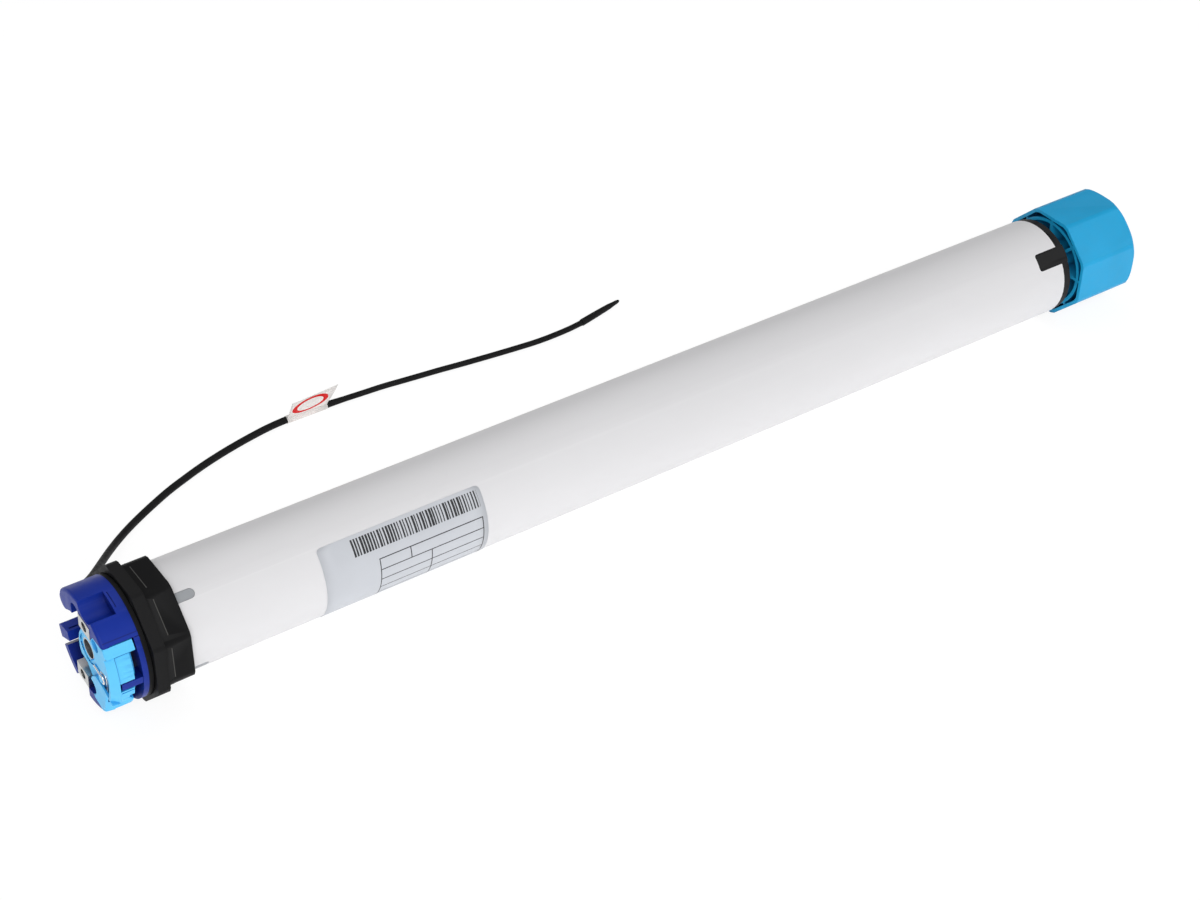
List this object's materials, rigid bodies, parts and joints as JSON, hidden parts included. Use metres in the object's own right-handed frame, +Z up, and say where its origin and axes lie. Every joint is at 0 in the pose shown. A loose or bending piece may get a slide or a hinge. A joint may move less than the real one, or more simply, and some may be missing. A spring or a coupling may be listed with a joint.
{
  "type": "tubular roller blind motor",
  "caption": "Tubular motor for a roller blind: plain round tube with a bearing head and running ring at one end, an octagonal drive wheel at the other, and an antenna wire.",
  "frame": {"origin": "on the motor axis at the end face of the head", "axes": "+X along the motor axis to the drive wheel, +Z up, -Y the side that carries the label"},
  "size_m": [0.5245, 0.1434, 0.053],
  "materials": {
    "white_paint": "satin",
    "label_grey": "matte",
    "dark_blue": "satin",
    "light_blue": "satin",
    "wheel_blue": "satin",
    "black_plastic": "matte",
    "grey_plastic": "matte",
    "black_rubber": "matte",
    "white_plastic": "matte",
    "steel": "brushed",
    "aluminium": "cast",
    "brass": "bright",
    "copper": "enamelled",
    "board_green": "solder mask",
    "relay_blue": "satin",
    "lead_red": "satin",
    "lining": "matte"
  },
  "bodies": {
    "motor": {"motor_tube": "white_paint", "rating_label": "label_grey", "head_housing": "dark_blue", "bearing_insert": "light_blue", "socket_bush": "steel", "captive_nuts": "steel", "bearing_neck": "black_plastic", "head_chassis": "grey_plastic", "head_seal": "black_rubber", "head_screws": "steel", "cable_socket": "black_plastic", "contact_pins": "brass", "antenna_grommet": "black_rubber", "antenna_wire": "black_rubber", "antenna_end_sleeve": "black_rubber", "antenna_flag": "white_plastic", "encoder_axle": "steel", "board_carrier": "black_plastic", "control_board": "board_green", "relays": "relay_blue", "transformer": "copper", "radio_module": "steel", "board_connector": "white_plastic", "run_capacitor": "white_plastic", "motor_leads": "lead_red", "rear_end_shield": "aluminium", "drive_end_shield": "aluminium", "rotor_bearings": "steel", "stator_core": "steel", "stator_windings": "copper", "brake_coil": "copper", "brake_spring": "steel", "brake_guides": "steel", "gearbox_cover": "black_plastic", "gear_housing": "black_plastic", "drive_end_cap": "black_plastic", "output_bearings": "steel", "shaft_seal": "black_rubber"},
    "running_ring": {"running_ring": "black_plastic"},
    "encoder": {"encoder_pinion": "white_plastic", "encoder_magnet": "steel"},
    "clip": {"retaining_clip": "steel"},
    "armature": {"brake_armature": "steel"},
    "output": {"output_shaft": "steel", "drive_wheel": "wheel_blue", "wheel_screw": "steel"},
    "second_carrier": {"stage2_carrier": "steel"},
    "first_carrier": {"stage1_carrier": "steel"},
    "rotor": {"rotor": "steel", "rotor_shaft": "steel", "brake_disc": "lining"},
    "stage1_planet_1": {"stage1_planet_1": "steel"},
    "stage1_planet_2": {"stage1_planet_2": "steel"},
    "stage1_planet_3": {"stage1_planet_3": "steel"},
    "stage2_planet_1": {"stage2_planet_1": "steel"},
    "stage2_planet_2": {"stage2_planet_2": "steel"},
    "stage2_planet_3": {"stage2_planet_3": "steel"},
    "stage3_planet_1": {"stage3_planet_1": "steel"},
    "stage3_planet_2": {"stage3_planet_2": "steel"},
    "stage3_planet_3": {"stage3_planet_3": "steel"}
  },
  "joints": [
    {"name": "running_ring_spin", "type": "hinge", "parent": "motor", "child": "running_ring", "pos_m": [0.025, 0, 0], "axis": [1, 0, 0], "continuous": true},
    {"name": "encoder_spin", "type": "hinge", "parent": "motor", "child": "encoder", "pos_m": [0.025, -0.0072, -0.01247], "axis": [1, 0, 0], "continuous": true},
    {"name": "clip_flex", "type": "hinge", "parent": "motor", "child": "clip", "pos_m": [0.0009, -0.0135, -0.0039], "axis": [-1, 0, 0], "range_deg": [0, 10], "stiffness_Nm_per_rad": 0.05},
    {"name": "brake_release", "type": "slide", "parent": "motor", "child": "armature", "axis": [-1, 0, 0], "range_m": [0, 0.0004], "stiffness_N_per_m": 3000, "springref_m": -0.005, "deforming": ["brake_spring"]},
    {"name": "drive_spin", "type": "hinge", "parent": "motor", "child": "output", "pos_m": [0.505, 0, 0], "axis": [1, 0, 0], "continuous": true},
    {"name": "second_carrier_spin", "type": "hinge", "parent": "motor", "child": "second_carrier", "pos_m": [0.435, 0, 0], "axis": [1, 0, 0], "continuous": true},
    {"name": "first_carrier_spin", "type": "hinge", "parent": "motor", "child": "first_carrier", "pos_m": [0.42, 0, 0], "axis": [1, 0, 0], "continuous": true},
    {"name": "rotor_spin", "type": "hinge", "parent": "motor", "child": "rotor", "pos_m": [0.315, 0, 0], "axis": [1, 0, 0], "continuous": true},
    {"name": "stage1_planet_1_spin", "type": "hinge", "parent": "first_carrier", "child": "stage1_planet_1", "pos_m": [0.413, 0.01073, 0], "axis": [1, 0, 0], "continuous": true},
    {"name": "stage1_planet_2_spin", "type": "hinge", "parent": "first_carrier", "child": "stage1_planet_2", "pos_m": [0.413, -0.00536, 0.00929], "axis": [1, 0, 0], "continuous": true},
    {"name": "stage1_planet_3_spin", "type": "hinge", "parent": "first_carrier", "child": "stage1_planet_3", "pos_m": [0.413, -0.00536, -0.00929], "axis": [1, 0, 0], "continuous": true},
    {"name": "stage2_planet_1_spin", "type": "hinge", "parent": "second_carrier", "child": "stage2_planet_1", "pos_m": [0.43, 0.01073, 0], "axis": [1, 0, 0], "continuous": true},
    {"name": "stage2_planet_2_spin", "type": "hinge", "parent": "second_carrier", "child": "stage2_planet_2", "pos_m": [0.43, -0.00536, 0.00929], "axis": [1, 0, 0], "continuous": true},
    {"name": "stage2_planet_3_spin", "type": "hinge", "parent": "second_carrier", "child": "stage2_planet_3", "pos_m": [0.43, -0.00536, -0.00929], "axis": [1, 0, 0], "continuous": true},
    {"name": "stage3_planet_1_spin", "type": "hinge", "parent": "output", "child": "stage3_planet_1", "pos_m": [0.45, 0.01073, 0], "axis": [1, 0, 0], "continuous": true},
    {"name": "stage3_planet_2_spin", "type": "hinge", "parent": "output", "child": "stage3_planet_2", "pos_m": [0.45, -0.00536, 0.00929], "axis": [1, 0, 0], "continuous": true},
    {"name": "stage3_planet_3_spin", "type": "hinge", "parent": "output", "child": "stage3_planet_3", "pos_m": [0.45, -0.00536, -0.00929], "axis": [1, 0, 0], "continuous": true}
  ],
  "couplings": [
    {"joint": "encoder_spin", "follows": "running_ring_spin", "ratio": 2.5},
    {"joint": "second_carrier_spin", "follows": "drive_spin", "ratio": 5.5},
    {"joint": "first_carrier_spin", "follows": "drive_spin", "ratio": 30.25},
    {"joint": "rotor_spin", "follows": "drive_spin", "ratio": 166.38},
    {"joint": "stage1_planet_1_spin", "follows": "drive_spin", "ratio": -77.786},
    {"joint": "stage1_planet_2_spin", "follows": "drive_spin", "ratio": -77.786},
    {"joint": "stage1_planet_3_spin", "follows": "drive_spin", "ratio": -77.786},
    {"joint": "stage2_planet_1_spin", "follows": "drive_spin", "ratio": -14.143},
    {"joint": "stage2_planet_2_spin", "follows": "drive_spin", "ratio": -14.143},
    {"joint": "stage2_planet_3_spin", "follows": "drive_spin", "ratio": -14.143},
    {"joint": "stage3_planet_1_spin", "follows": "drive_spin", "ratio": -2.5714},
    {"joint": "stage3_planet_2_spin", "follows": "drive_spin", "ratio": -2.5714},
    {"joint": "stage3_planet_3_spin", "follows": "drive_spin", "ratio": -2.5714}
  ]
}
